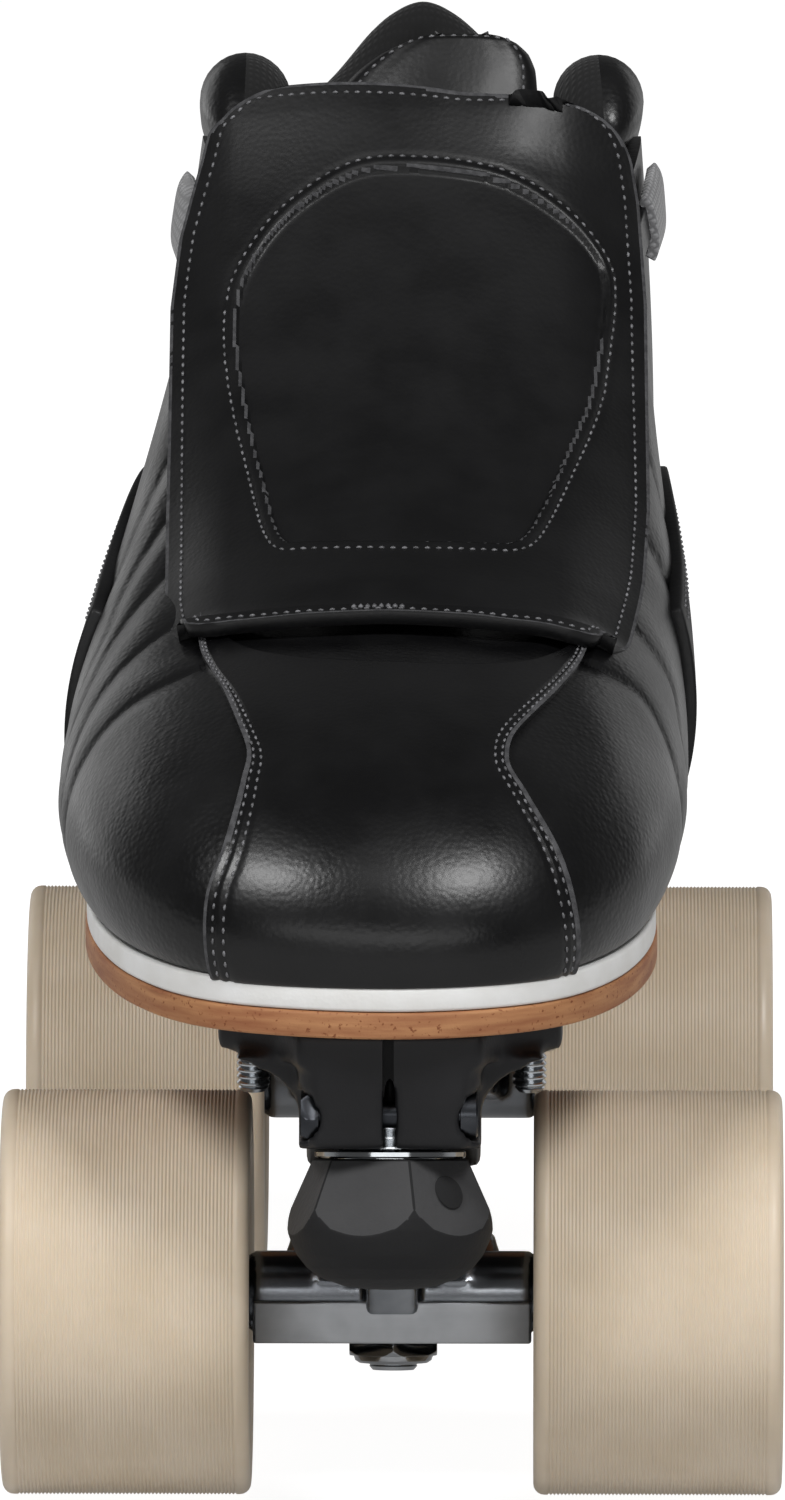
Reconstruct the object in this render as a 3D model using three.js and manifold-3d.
// Quad roller skate, right foot: low leather speed boot on a nylon plate with two trucks,
// four wheels and a screw-in toe stop. Millimetres, +Z up, toe towards -Y, the wearer's right is -X.
// The origin is on the ground at the middle of the object's box.
import * as THREE from "three";
import { mergeVertices } from "three/addons/utils/BufferGeometryUtils.js";
import Module from "manifold-3d";

const wasm = await Module();
wasm.setup();

// ---- driving dimensions ----
const GAP = 0.3; // clearance between pieces that touch
const FRONT_AXLE_Y = -86;
const WHEELBASE = 155;
const AXLE_Z = 31; // also the tyre's radius
const AXLE_RADIUS = 3.9;
const AXLE_HALF_LENGTH = 59.4;

const WHEEL_CENTRE_X = 40.6;
const WHEEL_WIDTH = 38;
const WHEEL_SIDES = 28; // one side of the tyre's polygon stands flat on the ground
const TYRE_SHOULDER = 3;
const HUB_RADIUS = 19.3;
const HUB_HALF_WIDTH = 13;
const HUB_BORE = 8.2; // between the two bearings
const BEARING_RADIUS = 11;
const BEARING_WIDTH = 7;
const BEARING_OFFSET = 9; // bearing's middle from the wheel's middle
const BORE_RADIUS = 4.3;
const NUT_ACROSS_FLATS = 13; // the axle nuts
const NUT_WIDTH = 5.6;

const BARREL_RADIUS = 6.4;
const BARREL_HALF_LENGTH = 21.2;
const SPACER_RADIUS = 5.6;
const SPACER_END_X = 27.7;
const GUSSET_X = 13.5;
const PIVOT_BACK = 18; // the pivot ball is this far outboard of the axle
const PIVOT_RISE = 17; // and this far above it
const PIVOT_BALL = 4.5;
const PIVOT_LEAN = THREE.MathUtils.degToRad(24);
const RING_BACK = 17; // the cushion ring is this far inboard of the axle
const RING_RISE = 1.5;
const RING_RADIUS = 13;
const RING_HALF_HEIGHT = 3.4;
const KINGPIN_TILT = THREE.MathUtils.degToRad(10);
const KINGPIN_RADIUS = 4;
const KINGPIN_TIP = -17.2; // along the kingpin, from the ring's middle
const KINGPIN_HEAD = 27;
const KINGPIN_HEAD_RADIUS = 8;
const KINGPIN_NUT_ACROSS_FLATS = 13.5;
const KINGPIN_NUT_THICKNESS = 4.2;
const CUSHION_RADIUS = 11.5;
const UPPER_CUSHION = [RING_HALF_HEIGHT + GAP, 14]; // from the seat on the ring to the far end
const LOWER_CUSHION = [-RING_HALF_HEIGHT - GAP, -10];
const CUP_RADIUS = 9.6; // the steel cup under the lower cushion
const CUP_THICKNESS = 1.6;
const PIVOT_CUP_RADIUS = 6.6;

const PLATE_TOP_Z = 82.5;
const DECK_THICKNESS = 5.2;
const RAIL_X = 10.5; // the two ribs along the underside
const RAIL_WIDTH = 5;
const RAIL_HEIGHT = 17;
const NOSE_HALF_WIDTH = 13.7;
const NOSE_BOTTOM_Z = 62.2;
const STOP_TILT = THREE.MathUtils.degToRad(12);
const STEM_Y = -124; // the stop's axis crosses STEM_Z here
const STEM_Z = 70;
const STEM_RADIUS = 7.9;
const NOSE_END = -8; // the clamp's end face, along the stop's axis
const STOP_RADIUS = 15.6;
const STOP_HEIGHT = 19.5;
const STOP_FLAT = 14; // from the stop's axis to each of its six flats
const WASHER_THICKNESS = 1;
const WASHER_RADIUS = 11;
const STOP_TOP = NOSE_END - 2 * GAP - WASHER_THICKNESS; // on the stop's line, just under the washer
const CLAMP_SLOT = 1.6;
const NOSE_FRONT_Y = -139;
const PINCH_Y = -135.2;
const PINCH_Z = 69.5;
const PINCH_RADIUS = 2;
const PINCH_HEAD_RADIUS = 3.6;
const PINCH_POCKET = 10.6; // from the middle to the floor of each pocket
const MOUNT_BOLT_RADIUS = 2.5;
const MOUNT_BOLT_TIP_Z = 65.6;
const MOUNT_BOLTS = [
  [-21, -100],
  [21, -100],
  [-19, 92],
  [19, 92],
];

const OUTSOLE_BOTTOM_Z = 82.8;
const OUTSOLE_THICKNESS = 4;
const MIDSOLE_THICKNESS = 3.6;
const UPPER_BASE_Z = OUTSOLE_BOTTOM_Z + OUTSOLE_THICKNESS + MIDSOLE_THICKNESS + 2 * GAP;
const UPPER_THICKNESS = 2.6;
const VAMP_SIDE = 0.2; // the vamp reaches this far round the sole each way
const COUNTER_THICKNESS = 2;
const WEBBING_THICKNESS = 1.8;
const COLLAR = [0.34, 0.66]; // the padded collar's two ends, as parts of the way round the sole
const COLLAR_ROLL = 4.2;
const COVER_THICKNESS = 2.2;
const COVER_HINGE = 0.1; // where along the instep the lace cover folds
const TONGUE_HALF_WIDTH = 13.5;
const TONGUE_THICKNESS = 4.5;
const LACE_ROWS = 7;
const LACE_SIDE = 12; // the eyelets stand this far either side of the middle
const LACE_DEPTH = 5.2; // and this far under the cover

// ---- materials ----
function finish(color, roughness, metalness) {
  return new THREE.MeshStandardMaterial({ color, roughness, metalness });
}

const MATERIALS = {
  urethane: finish(0xd9cbb4, 0.55, 0),
  hub: finish(0x1c1c1e, 0.45, 0),
  chrome: finish(0xc9cccf, 0.2, 1),
  castAluminium: finish(0x8a8c8f, 0.35, 1),
  cushion: finish(0x2b2b2e, 0.6, 0),
  nylon: finish(0x171718, 0.6, 0),
  rubber: finish(0x2a2a2c, 0.85, 0),
  stackedLeather: finish(0xb2713f, 0.7, 0),
  foam: finish(0xeeeeee, 0.8, 0),
  leather: finish(0x121213, 0.4, 0),
  fabric: finish(0x161617, 0.95, 0),
  webbing: finish(0xa9a9aa, 0.9, 0),
};

const skate = new THREE.Group();

function addMesh(name, geometry, material, parent = skate) {
  const mesh = new THREE.Mesh(geometry, material);
  mesh.name = name;
  parent.add(mesh);
  return mesh;
}

// ---- solids ----
function solidOf(geometry) {
  const bare = geometry.clone();
  bare.deleteAttribute("normal");
  bare.deleteAttribute("uv");
  const merged = mergeVertices(bare, 1e-3);
  const vertProperties = merged.attributes.position.array;
  const triVerts = new Uint32Array(merged.index.array);
  return new wasm.Manifold(new wasm.Mesh({ numProp: 3, vertProperties, triVerts }));
}

function geometryOf(solid) {
  const mesh = solid.getMesh();
  const geometry = new THREE.BufferGeometry();
  geometry.setAttribute("position", new THREE.BufferAttribute(mesh.vertProperties, 3));
  geometry.setIndex(new THREE.BufferAttribute(mesh.triVerts, 1));
  return geometry;
}

// Joins the first list of geometries and cuts the second list out of them.
function carved(joined, cut = []) {
  let solid = solidOf(joined[0]);
  joined.slice(1).forEach((geometry) => (solid = solid.add(solidOf(geometry))));
  cut.forEach((geometry) => (solid = solid.subtract(solidOf(geometry))));
  return geometryOf(solid);
}

// A profile of [radius, along] points turned about the Z axis. An open profile starts and ends
// on the axis; a closed one repeats its first point.
function turned(profile, sides) {
  const points = profile.map(([radius, along]) => new THREE.Vector2(radius, along));
  return new THREE.LatheGeometry(points, sides).rotateX(Math.PI / 2);
}

function rod(radius, from, to, sides = 20) {
  return turned([[0, from], [radius, from], [radius, to], [0, to]], sides);
}

function tube(outer, inner, from, to, sides = 24) {
  return turned([[inner, from], [outer, from], [outer, to], [inner, to], [inner, from]], sides);
}

function alongX(geometry) {
  return geometry.rotateY(Math.PI / 2);
}

function box(sizeX, sizeY, sizeZ, x, y, z) {
  return new THREE.BoxGeometry(sizeX, sizeY, sizeZ).translate(x, y, z);
}

// A flat outline in X and Y with a thickness from z upwards.
function slab(points, z, thickness) {
  const shape = new THREE.Shape(points);
  const settings = { depth: thickness, bevelEnabled: false };
  return new THREE.ExtrudeGeometry(shape, settings).translate(0, 0, z);
}

// A closed skin between two grids of points, front[i][j] and back[i][j]. The front is on the side
// that the cross product of a step in i and a step in j points to.
function skinned(front, back) {
  const rows = front.length;
  const columns = front[0].length;
  const positions = [front, back].flat(2).flatMap((p) => [p.x, p.y, p.z]);
  const index = [];
  const at = (side, i, j) => (side * rows + i) * columns + j;
  const quad = (a, b, c, d) => index.push(a, b, c, a, c, d);
  for (let i = 0; i < rows - 1; i += 1) {
    for (let j = 0; j < columns - 1; j += 1) {
      quad(at(0, i, j), at(0, i + 1, j), at(0, i + 1, j + 1), at(0, i, j + 1));
      quad(at(1, i, j), at(1, i, j + 1), at(1, i + 1, j + 1), at(1, i + 1, j));
    }
    const top = columns - 1;
    quad(at(0, i, 0), at(1, i, 0), at(1, i + 1, 0), at(0, i + 1, 0));
    quad(at(0, i, top), at(0, i + 1, top), at(1, i + 1, top), at(1, i, top));
  }
  const end = rows - 1;
  for (let j = 0; j < columns - 1; j += 1) {
    quad(at(0, 0, j), at(0, 0, j + 1), at(1, 0, j + 1), at(1, 0, j));
    quad(at(0, end, j), at(1, end, j), at(1, end, j + 1), at(0, end, j + 1));
  }
  const geometry = new THREE.BufferGeometry();
  geometry.setAttribute("position", new THREE.Float32BufferAttribute(positions, 3));
  geometry.setIndex(index);
  return geometry;
}

// ---- wheels ----
function tyre() {
  const outer = AXLE_Z / Math.cos(Math.PI / WHEEL_SIDES);
  const half = WHEEL_WIDTH / 2;
  const inner = HUB_RADIUS + GAP;
  const lip = inner + 5;
  const profile = [
    [inner, -HUB_HALF_WIDTH],
    [lip, -half],
    [outer - TYRE_SHOULDER / 2, -half],
    [outer, -half + TYRE_SHOULDER],
    [outer, half - TYRE_SHOULDER],
    [outer - TYRE_SHOULDER / 2, half],
    [lip, half],
    [inner, HUB_HALF_WIDTH],
    [inner, -HUB_HALF_WIDTH],
  ];
  return alongX(turned(profile, WHEEL_SIDES).rotateZ(Math.PI / WHEEL_SIDES));
}

function hub() {
  const seat = BEARING_RADIUS + GAP / 2;
  const seatDepth = BEARING_OFFSET - BEARING_WIDTH / 2 - GAP;
  const profile = [
    [HUB_BORE, -seatDepth],
    [seat, -seatDepth],
    [seat, -HUB_HALF_WIDTH],
    [HUB_RADIUS, -HUB_HALF_WIDTH],
    [HUB_RADIUS, HUB_HALF_WIDTH],
    [seat, HUB_HALF_WIDTH],
    [seat, seatDepth],
    [HUB_BORE, seatDepth],
    [HUB_BORE, -seatDepth],
  ];
  return alongX(turned(profile, 18));
}

function bearing() {
  const half = BEARING_WIDTH / 2;
  return alongX(tube(BEARING_RADIUS, BORE_RADIUS, -half, half, 18));
}

function hexNut(acrossFlats, thickness, bore) {
  const hexagon = rod(acrossFlats / Math.sqrt(3), 0, thickness, 6).rotateZ(Math.PI / 6);
  return carved([hexagon], [rod(bore, -1, thickness + 1)]);
}

function axleNut() {
  return alongX(hexNut(NUT_ACROSS_FLATS, NUT_WIDTH, AXLE_RADIUS + GAP));
}

// ---- trucks: built with the axle at the origin and +Y inboard, towards the skate's middle ----
const PIVOT = new THREE.Vector3(0, -PIVOT_BACK, PIVOT_RISE);
const RING = new THREE.Vector3(0, RING_BACK, RING_RISE);

// Places a solid that was made about the Z axis on the kingpin's line, with z = 0 at the ring.
function onKingpin(geometry) {
  return geometry.rotateX(-KINGPIN_TILT).translate(RING.x, RING.y, RING.z);
}

// A plate of the hanger that stands across the X axis, drawn as an outline in Y and Z.
function rib(points, x, thickness) {
  const shape = new THREE.Shape(points.map(([y, z]) => new THREE.Vector2(y, z)));
  const plate = new THREE.ExtrudeGeometry(shape, { depth: thickness, bevelEnabled: false });
  return plate.translate(0, 0, -thickness / 2).rotateX(Math.PI / 2).rotateZ(Math.PI / 2).translate(x, 0, 0);
}

function hanger() {
  const barrel = alongX(rod(BARREL_RADIUS, -BARREL_HALF_LENGTH, BARREL_HALF_LENGTH, 20));
  const spacer = alongX(rod(SPACER_RADIUS, -SPACER_END_X, SPACER_END_X, 16));
  const ring = onKingpin(rod(RING_RADIUS, -RING_HALF_HEIGHT, RING_HALF_HEIGHT, 24));
  const web = box(20, 14, 6, 0, 6, -0.4);
  const band = box(2 * BARREL_HALF_LENGTH, 6, 6.4, 0, -2.2, -3.2);
  const arm = [
    [4, -5],
    [-5, -5],
    [2 - PIVOT_BACK, PIVOT_RISE - 8],
    [3.5 - PIVOT_BACK, PIVOT_RISE - 5],
    [-9, 10],
    [4, 5.5],
  ];
  const gusset = [
    [16, -3],
    [-4, -5.5],
    [-6, 3],
    [-2, 8],
    [4, 6.5],
    [16, 4],
  ];
  const ribs = [rib(arm, 0, 8), rib(gusset, -GUSSET_X + 4, 4), rib(gusset, GUSSET_X - 4, 4)];
  const pin = rod(3, -9, 0, 12).rotateX(PIVOT_LEAN).translate(PIVOT.x, PIVOT.y, PIVOT.z);
  const ball = new THREE.SphereGeometry(PIVOT_BALL, 14, 9).translate(PIVOT.x, PIVOT.y, PIVOT.z);
  const bore = alongX(rod(AXLE_RADIUS + GAP, -40, 40, 20));
  const kingpinHole = onKingpin(rod(KINGPIN_RADIUS + 2, -12, 12, 20));
  const overRing = onKingpin(rod(CUSHION_RADIUS + 0.6, RING_HALF_HEIGHT, RING_HALF_HEIGHT + 20, 20));
  const underRing = onKingpin(rod(CUSHION_RADIUS + 0.6, -RING_HALF_HEIGHT - 20, -RING_HALF_HEIGHT, 20));
  const solids = [barrel, spacer, ring, web, band, ...ribs, pin, ball];
  return carved(solids, [bore, kingpinHole, overRing, underRing]);
}

// A conical cushion from its wide seat to its narrow end, above or below the ring.
function cushion(seat, end) {
  const bore = KINGPIN_RADIUS + GAP;
  const step = Math.sign(end - seat);
  const profile = [
    [bore, seat],
    [CUSHION_RADIUS, seat],
    [CUSHION_RADIUS, seat + 4 * step],
    [CUSHION_RADIUS - 2, end],
    [bore, end],
    [bore, seat],
  ];
  return onKingpin(turned(step > 0 ? profile : profile.reverse(), 24));
}

function cushionCup() {
  const [, below] = LOWER_CUSHION;
  const floor = below - GAP;
  const profile = [
    [KINGPIN_RADIUS + GAP, floor - CUP_THICKNESS],
    [CUP_RADIUS, floor - CUP_THICKNESS],
    [CUP_RADIUS, floor],
    [KINGPIN_RADIUS + GAP, floor],
    [KINGPIN_RADIUS + GAP, floor - CUP_THICKNESS],
  ];
  return onKingpin(turned(profile, 24));
}

function kingpin() {
  const head = rod(KINGPIN_HEAD_RADIUS, KINGPIN_HEAD, KINGPIN_HEAD + 5, 6);
  return onKingpin(carved([rod(KINGPIN_RADIUS, KINGPIN_TIP, KINGPIN_HEAD + 1), head]));
}

function kingpinNut() {
  const bottom = LOWER_CUSHION[1] - 2 * GAP - CUP_THICKNESS - KINGPIN_NUT_THICKNESS;
  const nut = hexNut(KINGPIN_NUT_ACROSS_FLATS, KINGPIN_NUT_THICKNESS, KINGPIN_RADIUS + GAP);
  return onKingpin(nut.translate(0, 0, bottom));
}

function pivotCup() {
  const outer = new THREE.SphereGeometry(PIVOT_CUP_RADIUS, 16, 10);
  const socket = new THREE.SphereGeometry(PIVOT_BALL + 0.5, 16, 10);
  const mouth = box(20, 20, 20, 0, 0, -11.2).rotateX(PIVOT_LEAN);
  return carved([outer], [socket, mouth]).translate(PIVOT.x, PIVOT.y, PIVOT.z);
}

function truck(end, inboard) {
  const group = new THREE.Group();
  group.position.set(0, end === "front" ? FRONT_AXLE_Y : FRONT_AXLE_Y + WHEELBASE, AXLE_Z);
  group.rotation.z = inboard > 0 ? 0 : Math.PI;
  skate.add(group);
  addMesh(`${end}_hanger`, hanger(), MATERIALS.castAluminium, group);
  const axle = alongX(rod(AXLE_RADIUS, -AXLE_HALF_LENGTH, AXLE_HALF_LENGTH, 20));
  addMesh(`${end}_axle`, axle, MATERIALS.chrome, group);
  addMesh(`${end}_kingpin`, kingpin(), MATERIALS.chrome, group);
  addMesh(`${end}_cushion_upper`, cushion(...UPPER_CUSHION), MATERIALS.cushion, group);
  addMesh(`${end}_cushion_lower`, cushion(...LOWER_CUSHION), MATERIALS.cushion, group);
  addMesh(`${end}_cushion_cup`, cushionCup(), MATERIALS.chrome, group);
  addMesh(`${end}_kingpin_nut`, kingpinNut(), MATERIALS.chrome, group);
  addMesh(`${end}_pivot_cup`, pivotCup(), MATERIALS.cushion, group);
}

function wheel(end, hand) {
  const side = hand === "left" ? 1 : -1;
  const group = new THREE.Group();
  const axleY = end === "front" ? FRONT_AXLE_Y : FRONT_AXLE_Y + WHEELBASE;
  group.position.set(side * WHEEL_CENTRE_X, axleY, AXLE_Z);
  skate.add(group);
  const name = `${end}_${hand}`;
  addMesh(`${name}_tyre`, tyre(), MATERIALS.urethane, group);
  addMesh(`${name}_hub`, hub(), MATERIALS.hub, group);
  const outboard = addMesh(`${name}_bearing_outer`, bearing(), MATERIALS.chrome, group);
  outboard.position.x = side * BEARING_OFFSET;
  const inboard = addMesh(`${name}_bearing_inner`, bearing(), MATERIALS.chrome, group);
  inboard.position.x = -side * BEARING_OFFSET;
  const nut = addMesh(`${name}_axle_nut`, axleNut(), MATERIALS.chrome, group);
  nut.position.x = side * (BEARING_OFFSET + BEARING_WIDTH / 2 + GAP) - (side < 0 ? NUT_WIDTH : 0);
}

// ---- plate and toe stop ----
// Places a solid made about the Z axis on the toe stop's line, with z = 0 where the line is at STEM_Z.
function onStem(geometry) {
  return geometry.rotateX(-STOP_TILT).translate(0, STEM_Y, STEM_Z);
}

function mirrored(half) {
  const other = half.slice().reverse().map((p) => new THREE.Vector2(-p.x, p.y));
  return [...half, ...other];
}

function deckOutline() {
  const half = [
    [NOSE_HALF_WIDTH, NOSE_FRONT_Y],
    [17, -132],
    [26, -124],
    [26, -62],
    [15, -42],
    [15, 18],
    [24, 40],
    [24, 104],
    [16, 114],
  ];
  return mirrored(half.map(([x, y]) => new THREE.Vector2(x, y)));
}

const TOP_IN_TRUCK = PLATE_TOP_Z - AXLE_Z; // the deck's top in a truck's own frame

// What one truck needs of the plate, in the truck's frame: a kingpin boss and a pivot boss.
function truckBosses() {
  const kingpinBoss = onKingpin(rod(13.5, UPPER_CUSHION[1] + GAP, 38, 24));
  const pivotBoss = rod(9.5, PIVOT_RISE + 1, TOP_IN_TRUCK - 1, 20).translate(0, -PIVOT_BACK, 0);
  const bridge = box(12, PIVOT_BACK + RING_BACK, 20, 0, -3, TOP_IN_TRUCK - 11);
  return [kingpinBoss, pivotBoss, bridge];
}

function truckHoles() {
  const kingpinBore = onKingpin(rod(KINGPIN_RADIUS + GAP, 0, KINGPIN_HEAD + 1, 20));
  const headPocket = onKingpin(rod(KINGPIN_HEAD_RADIUS + GAP, KINGPIN_HEAD - GAP, 60, 20));
  const socket = new THREE.SphereGeometry(PIVOT_CUP_RADIUS + 0.4, 16, 10).translate(0, -PIVOT_BACK, PIVOT_RISE);
  return [kingpinBore, headPocket, socket];
}

function plate() {
  const inFrame = (geometry, end) => {
    const axleY = end === "front" ? FRONT_AXLE_Y : FRONT_AXLE_Y + WHEELBASE;
    return geometry.rotateZ(end === "front" ? 0 : Math.PI).translate(0, axleY, AXLE_Z);
  };
  const deck = slab(deckOutline(), PLATE_TOP_Z - DECK_THICKNESS, DECK_THICKNESS);
  const nose = slab(
    mirrored([
      new THREE.Vector2(NOSE_HALF_WIDTH - 2.5, NOSE_FRONT_Y),
      new THREE.Vector2(NOSE_HALF_WIDTH, NOSE_FRONT_Y + 2.5),
      new THREE.Vector2(NOSE_HALF_WIDTH, -110),
    ]),
    NOSE_BOTTOM_Z - 3,
    PLATE_TOP_Z - 1 - NOSE_BOTTOM_Z + 3,
  );
  const railZ = PLATE_TOP_Z - 1 - RAIL_HEIGHT / 2;
  const rails = [-1, 1].map((side) => box(RAIL_WIDTH, 140, RAIL_HEIGHT, side * RAIL_X, -8, railZ));
  const bosses = ["front", "rear"].flatMap((end) => truckBosses().map((part) => inFrame(part, end)));
  const flare = [-1, 1].map((side) => {
    const half = [
      new THREE.Vector2(0, 0),
      new THREE.Vector2(9, 0),
      new THREE.Vector2(3, -3.5),
      new THREE.Vector2(0, -9),
    ];
    const shape = new THREE.Shape(half);
    const fillet = new THREE.ExtrudeGeometry(shape, { depth: 20, bevelEnabled: false });
    fillet.rotateX(Math.PI / 2);
    if (side < 0) {
      fillet.rotateZ(Math.PI).translate(0, -20, 0);
    }
    return fillet.translate(side * (NOSE_HALF_WIDTH - 0.2), -108, PLATE_TOP_Z - DECK_THICKNESS + 0.4);
  });
  const holes = ["front", "rear"].flatMap((end) => truckHoles().map((part) => inFrame(part, end)));
  const underNose = onStem(box(60, 50, 20, 0, 0, NOSE_END - 10));
  const stemBore = onStem(rod(STEM_RADIUS + GAP, -20, 9.5, 24));
  const slot = box(CLAMP_SLOT, 24, 30, 0, STEM_Y - 12, NOSE_BOTTOM_Z - 2);
  const pinchHoles = [
    rod(PINCH_RADIUS + GAP, -20, 20, 16),
    rod(PINCH_HEAD_RADIUS + GAP, PINCH_POCKET - GAP, 20, 16),
    rod(PINCH_HEAD_RADIUS + GAP, -20, GAP - PINCH_POCKET, 16),
  ].map((hole) => alongX(hole).translate(0, PINCH_Y, PINCH_Z));
  const boltHoles = MOUNT_BOLTS.map(([x, y]) =>
    rod(MOUNT_BOLT_RADIUS + GAP, PLATE_TOP_Z - 20, PLATE_TOP_Z + 5, 12).translate(x, y, 0),
  );
  const solids = [deck, nose, ...rails, ...bosses, ...flare];
  return carved(solids, [...holes, underNose, stemBore, slot, ...pinchHoles, ...boltHoles]);
}

// The screw that pinches the clamp: its head and its nut lie in pockets in the nose's sides.
function pinchBolt() {
  const end = NOSE_HALF_WIDTH - 0.4;
  const shank = rod(PINCH_RADIUS, -end, end, 14);
  const head = rod(PINCH_HEAD_RADIUS, PINCH_POCKET, end, 16);
  const nut = rod(PINCH_HEAD_RADIUS, -end, -PINCH_POCKET, 6);
  return alongX(carved([shank, head, nut])).translate(0, PINCH_Y, PINCH_Z);
}

// A sole bolt: its head lies in the footbed's side of the sole, its nut and washer under the deck.
function mountBolt(x, y) {
  const under = PLATE_TOP_Z - DECK_THICKNESS - GAP;
  const shank = rod(MOUNT_BOLT_RADIUS, MOUNT_BOLT_TIP_Z, UPPER_BASE_Z + 1, 12);
  const washer = rod(5, under - 1, under, 16);
  const nut = rod(4.6, under - 5, under - 0.9, 6);
  const head = rod(4.6, UPPER_BASE_Z, UPPER_BASE_Z + 1.9, 12);
  return carved([shank, washer, nut, head]).translate(x, y, 0);
}

function toeStopRubber() {
  const bottom = STOP_TOP - STOP_HEIGHT;
  const profile = [
    [0, STOP_TOP - 1],
    [STEM_RADIUS + 0.5, STOP_TOP - 1],
    [STEM_RADIUS + 0.5, STOP_TOP],
    [13, STOP_TOP],
    [STOP_RADIUS, STOP_TOP - 4],
    [STOP_RADIUS, STOP_TOP - 12],
    [STOP_RADIUS - 2.5, STOP_TOP - 16],
    [8, bottom + 0.8],
    [0, bottom],
  ];
  const flats = [0, 1, 2, 3, 4, 5].map((k) => {
    const angle = THREE.MathUtils.degToRad(14 + 60 * k);
    return box(20, 40, 40, STOP_FLAT + 10, 0, STOP_TOP - 6).rotateZ(angle);
  });
  return onStem(carved([turned(profile.reverse(), 30)], flats));
}

function toeStopStem() {
  return onStem(rod(STEM_RADIUS, STOP_TOP - 0.7, 8.6, 20));
}

function toeStopWasher() {
  const from = STOP_TOP + GAP;
  return onStem(tube(WASHER_RADIUS, STEM_RADIUS + GAP, from, from + WASHER_THICKNESS, 24));
}

// ---- boot ----
// Stations run round the sole from the toe tip along the outer side to the heel and back along the
// inner side. Each has the upper's foot on the sole, its top edge, how round it is and how far it
// swells outwards.
const STATIONS = [
  { foot: [0, -142.5], top: [-1, -67, 132.3], round: 1, swell: 2 },
  { foot: [-24.5, -136], top: [-9, -66, 132], round: 1, swell: 4 },
  { foot: [-37.3, -119], top: [-15, -61, 132], round: 1, swell: 6 },
  { foot: [-44.2, -92], top: [-18, -52, 134], round: 1, swell: 7.2 },
  { foot: [-45.5, -60], top: [-19, -34, 141], round: 1, swell: 7.2 },
  { foot: [-41, -25], top: [-21, -10, 156], round: 0.9, swell: 7.8 },
  { foot: [-35.5, 14], top: [-25.5, 14, 179], round: 0.7, swell: 6 },
  { foot: [-32, 58], top: [-33, 48, 192], round: 0.3, swell: 4.5 },
  { foot: [-31, 95], top: [-28, 86, 177], round: 0.2, swell: 4.5 },
  { foot: [-20, 128], top: [-18, 117, 178], round: 0.2, swell: 4.5 },
  { foot: [3, 140.5], top: [3, 132, 188], round: 0.2, swell: 3 },
  { foot: [26, 128], top: [24, 117, 178], round: 0.2, swell: 4.5 },
  { foot: [35, 95], top: [34, 86, 177], round: 0.2, swell: 4.5 },
  { foot: [34.5, 58], top: [40.5, 48, 192], round: 0.3, swell: 4.5 },
  { foot: [31.5, 14], top: [34, 14, 179], round: 0.7, swell: 8.5 },
  { foot: [33.5, -25], top: [25, -10, 156], round: 0.95, swell: 11.5 },
  { foot: [38, -60], top: [19, -34, 141], round: 1, swell: 8.5 },
  { foot: [38.5, -92], top: [17, -52, 134], round: 1, swell: 6.5 },
  { foot: [33, -119], top: [13, -61, 132], round: 1, swell: 5 },
  { foot: [21.5, -136], top: [7, -66, 132], round: 1, swell: 3 },
];

const FEET = new THREE.CatmullRomCurve3(
  STATIONS.map((s) => new THREE.Vector3(s.foot[0], s.foot[1], UPPER_BASE_Z)),
  true,
);
const TOPS = new THREE.CatmullRomCurve3(STATIONS.map((s) => new THREE.Vector3(...s.top)), true);
const SHAPES = new THREE.CatmullRomCurve3(STATIONS.map((s) => new THREE.Vector3(s.round, s.swell, 0)), true);

// The upper's surface: u goes round the sole from 0 to 1, v from the sole (0) to the top edge (1).
function upperPoint(u, v) {
  const foot = FEET.getPoint(u);
  const top = TOPS.getPoint(u);
  const { x: round, y: swell } = SHAPES.getPoint(u);
  const tangent = FEET.getTangent(u);
  const across = v + round * (1 - Math.cos((v * Math.PI) / 2) - v);
  const rise = v + round * (Math.sin((v * Math.PI) / 2) - v);
  const bulge = swell * Math.sin(Math.PI * Math.pow(v, 0.65));
  return new THREE.Vector3(
    foot.x + (top.x - foot.x) * across + tangent.y * bulge * -1,
    foot.y + (top.y - foot.y) * across + tangent.x * bulge,
    foot.z + (top.z - foot.z) * rise,
  );
}

// The point of the upper moved inwards, square to its surface.
function upperInset(u, v, depth) {
  const step = 0.004;
  const point = upperPoint(u, v);
  const round = upperPoint(u + step, v).sub(upperPoint(u - step, v));
  const low = Math.max(v - step, 0);
  const up = upperPoint(u, v + step).sub(upperPoint(u, low));
  const normal = new THREE.Vector3().crossVectors(round, up).normalize();
  return point.addScaledVector(normal, depth);
}

// One panel of the upper: a patch of its surface from fromU to toU and fromV to toV.
function upperPanel(fromU, toU, fromV, toV, outerDepth, thickness, columns, rows = 6) {
  const grid = (depth) => {
    const lines = [];
    for (let i = 0; i <= columns; i += 1) {
      const u = fromU + ((toU - fromU) * i) / columns;
      const line = [];
      for (let j = 0; j <= rows; j += 1) {
        line.push(upperInset((u + 1) % 1, fromV + ((toV - fromV) * j) / rows, depth));
      }
      lines.push(line);
    }
    return lines;
  };
  return skinned(grid(outerDepth + thickness), grid(outerDepth));
}

function soleOutline(grow) {
  const points = [];
  const count = 48;
  for (let i = 0; i < count; i += 1) {
    const u = i / count;
    const foot = FEET.getPoint(u);
    const tangent = FEET.getTangent(u);
    points.push(new THREE.Vector2(foot.x - tangent.y * grow, foot.y + tangent.x * grow));
  }
  return points;
}

function soleLayer(grow, z, thickness) {
  const bore = MOUNT_BOLT_RADIUS + GAP;
  const holes = MOUNT_BOLTS.map(([x, y]) => rod(bore, z - 5, z + 12, 12).translate(x, y, 0));
  return carved([slab(soleOutline(grow), z, thickness)], holes);
}

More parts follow.
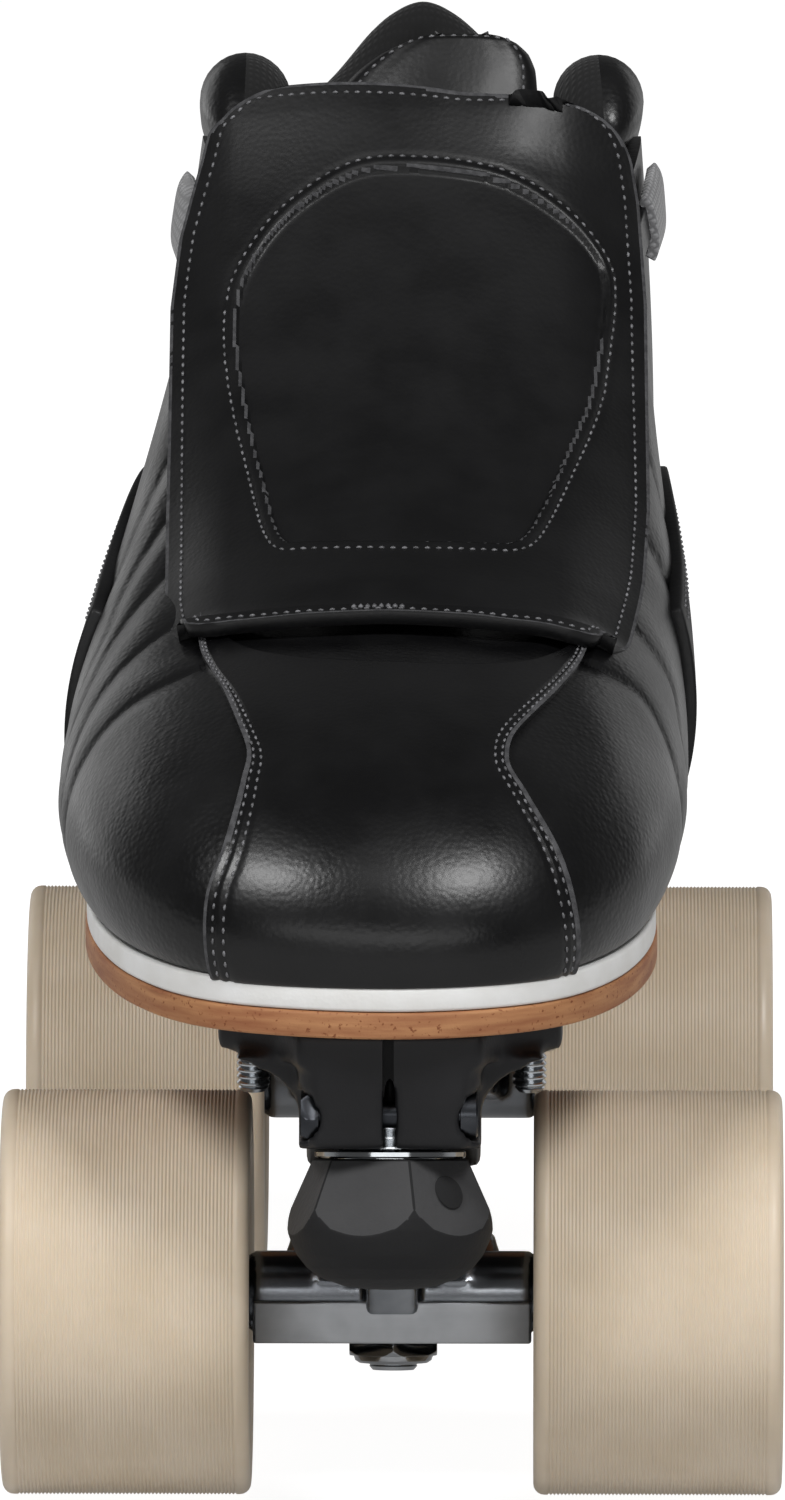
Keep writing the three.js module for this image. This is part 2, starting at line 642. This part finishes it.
// A soft strip that follows a path and is crowned across it. halfWidth gives how far it reaches to
// the outer and the inner side, and crown how far it falls at 30 from the middle.
function padAlong(path, halfWidth, thickness, crown, steps = 14, across = 8) {
  const grid = (drop) => {
    const lines = [];
    for (let i = 0; i <= steps; i += 1) {
      const t = i / steps;
      const centre = path.getPoint(t);
      const tangent = path.getTangent(t);
      const up = new THREE.Vector3(0, -tangent.z, tangent.y).normalize();
      const [left, right] = halfWidth(t);
      const line = [];
      for (let j = 0; j <= across; j += 1) {
        const x = -left + ((left + right) * j) / across;
        const fall = crown(t) * Math.pow(Math.abs(x) / 30, 2) + drop;
        line.push(new THREE.Vector3(centre.x + x, centre.y, centre.z).addScaledVector(up, -fall));
      }
      lines.push(line);
    }
    return lines;
  };
  return skinned(grid(thickness), grid(0));
}

const INSTEP = new THREE.CatmullRomCurve3([
  new THREE.Vector3(0, -75, 138.2),
  new THREE.Vector3(0, -62, 141.4),
  new THREE.Vector3(0, -35, 152.5),
  new THREE.Vector3(0, -12, 168),
  new THREE.Vector3(0, 8, 185.5),
  new THREE.Vector3(0, 19, 198),
]);

function coverWidth(t) {
  const lateral = t < 0.5 ? 31 + 9 * t : 35.5 - 11 * (t - 0.5);
  const medial = t < 0.5 ? 32 + 16 * t : 40 - 6 * (t - 0.5);
  return [lateral, medial];
}

function coverPiece(from, to) {
  const part = (t) => from + (to - from) * t;
  const points = [0, 0.2, 0.4, 0.6, 0.8, 1].map((t) => INSTEP.getPoint(part(t)));
  return padAlong(
    new THREE.CatmullRomCurve3(points),
    (t) => coverWidth(part(t)),
    COVER_THICKNESS,
    (t) => 6 - part(t),
    from > 0 ? 12 : 2,
  );
}

function tongue() {
  const path = new THREE.CatmullRomCurve3([
    new THREE.Vector3(0, -63, 127),
    new THREE.Vector3(0, -35, 142),
    new THREE.Vector3(1, -10, 158),
    new THREE.Vector3(4, 12, 179),
    new THREE.Vector3(8, 28, 208),
  ]);
  const halfWidth = () => [TONGUE_HALF_WIDTH, TONGUE_HALF_WIDTH];
  return padAlong(path, halfWidth, TONGUE_THICKNESS, () => 6, 14, 6);
}

// The lace runs from side to side between the eyelets, over the tongue and under the cover.
function lace() {
  const points = [];
  for (let row = 0; row < LACE_ROWS; row += 1) {
    const t = 0.16 + (0.62 * row) / (LACE_ROWS - 1);
    const centre = INSTEP.getPoint(t);
    const tangent = INSTEP.getTangent(t);
    const side = row % 2 ? 1 : -1;
    const under = new THREE.Vector3(0, tangent.z, -tangent.y).multiplyScalar(LACE_DEPTH);
    points.push(new THREE.Vector3(side * LACE_SIDE, centre.y, centre.z).add(under));
    points.push(new THREE.Vector3(-side * LACE_SIDE, centre.y, centre.z).add(under));
  }
  const path = new THREE.CatmullRomCurve3(points, false, "catmullrom", 0.2);
  const section = new THREE.Shape();
  section.absellipse(0, 0, 0.9, 1.6, 0, 2 * Math.PI);
  const settings = { steps: 56, extrudePath: path, curveSegments: 2, bevelEnabled: false };
  return new THREE.ExtrudeGeometry(section, settings);
}

// A soft roll on the upper's top edge, round the back of the ankle.
function collarPadding() {
  const path = [];
  const count = 22;
  const sides = 8;
  for (let i = 0; i <= count; i += 1) {
    path.push(TOPS.getPoint(COLLAR[0] + ((COLLAR[1] - COLLAR[0]) * i) / count));
  }
  const rows = path.map((point, i) => {
    const before = path[Math.max(i - 1, 0)];
    const after = path[Math.min(i + 1, count)];
    const along = after.clone().sub(before).setZ(0).normalize();
    const inward = new THREE.Vector3(-along.y, along.x, 0).negate();
    const line = [];
    for (let k = 0; k < sides; k += 1) {
      const angle = (2 * Math.PI * k) / sides;
      const reach = inward.clone().multiplyScalar(COLLAR_ROLL * (0.7 - Math.cos(angle)));
      line.push(point.clone().add(reach).setZ(point.z + COLLAR_ROLL * (1.15 + Math.sin(angle))));
    }
    return line;
  });
  return ropeOf(rows);
}

// Closes rings of points, one after the other, into a tube with flat ends.
function ropeOf(rings) {
  const sides = rings[0].length;
  const positions = rings.flat().flatMap((p) => [p.x, p.y, p.z]);
  const index = [];
  for (let i = 0; i < rings.length - 1; i += 1) {
    for (let k = 0; k < sides; k += 1) {
      const next = (k + 1) % sides;
      const [a, b] = [i * sides + k, i * sides + next];
      index.push(a, b, b + sides, a, b + sides, a + sides);
    }
  }
  const end = (rings.length - 1) * sides;
  for (let k = 1; k < sides - 1; k += 1) {
    index.push(0, k + 1, k, end, end + k, end + k + 1);
  }
  const geometry = new THREE.BufferGeometry();
  geometry.setAttribute("position", new THREE.Float32BufferAttribute(positions, 3));
  geometry.setIndex(index);
  return geometry;
}

function addBoot() {
  const outsoleZ = OUTSOLE_BOTTOM_Z;
  addMesh("outsole", soleLayer(1.5, outsoleZ, OUTSOLE_THICKNESS), MATERIALS.stackedLeather);
  const midsoleZ = outsoleZ + OUTSOLE_THICKNESS + GAP;
  addMesh("midsole", soleLayer(1.2, midsoleZ, MIDSOLE_THICKNESS), MATERIALS.foam);
  const footbed = slab(soleOutline(-UPPER_THICKNESS - 2), UPPER_BASE_Z + 2.2, 3);
  addMesh("footbed", footbed, MATERIALS.fabric);
  const upper = (name, from, to, columns) =>
    addMesh(name, upperPanel(from, to, 0, 1, 0, UPPER_THICKNESS, columns), MATERIALS.leather);
  upper("toe_vamp", -VAMP_SIDE, VAMP_SIDE, 16);
  upper("quarter_outer", VAMP_SIDE + 0.002, 0.499, 12);
  upper("quarter_inner", 0.501, 1 - VAMP_SIDE - 0.002, 12);
  const counterDepth = -COUNTER_THICKNESS - 2 * GAP;
  const counter = upperPanel(0.275, 0.725, 0.02, 0.36, counterDepth, COUNTER_THICKNESS, 18, 4);
  addMesh("heel_counter", counter, MATERIALS.leather);
  const webbing = (name, from, to) => {
    const depth = -WEBBING_THICKNESS - GAP;
    const strap = upperPanel(from, to, 0.72, 0.96, depth, WEBBING_THICKNESS, 3, 5);
    addMesh(name, strap, MATERIALS.webbing);
  };
  webbing("webbing_outer", 0.322, 0.338);
  webbing("webbing_inner", 0.662, 0.678);
  addMesh("collar_padding", collarPadding(), MATERIALS.leather);
  addMesh("tongue", tongue(), MATERIALS.leather);
  addMesh("lace", lace(), MATERIALS.fabric);
  addMesh("lace_cover_root", coverPiece(0, COVER_HINGE - 0.004), MATERIALS.leather);
  addMesh("lace_cover", coverPiece(COVER_HINGE, 1), MATERIALS.leather);
}

for (const end of ["front", "rear"]) {
  truck(end, end === "front" ? 1 : -1);
  wheel(end, "left");
  wheel(end, "right");
}
addMesh("plate", plate(), MATERIALS.nylon);
addMesh("pinch_bolt", pinchBolt(), MATERIALS.chrome);
addMesh("toe_stop_rubber", toeStopRubber(), MATERIALS.rubber);
addMesh("toe_stop_stem", toeStopStem(), MATERIALS.chrome);
addMesh("toe_stop_washer", toeStopWasher(), MATERIALS.chrome);
MOUNT_BOLTS.forEach(([x, y]) => {
  const name = `mount_bolt_${y < 0 ? "front" : "rear"}_${x < 0 ? "right" : "left"}`;
  addMesh(name, mountBolt(x, y), MATERIALS.chrome);
});
addBoot();

export default skate;
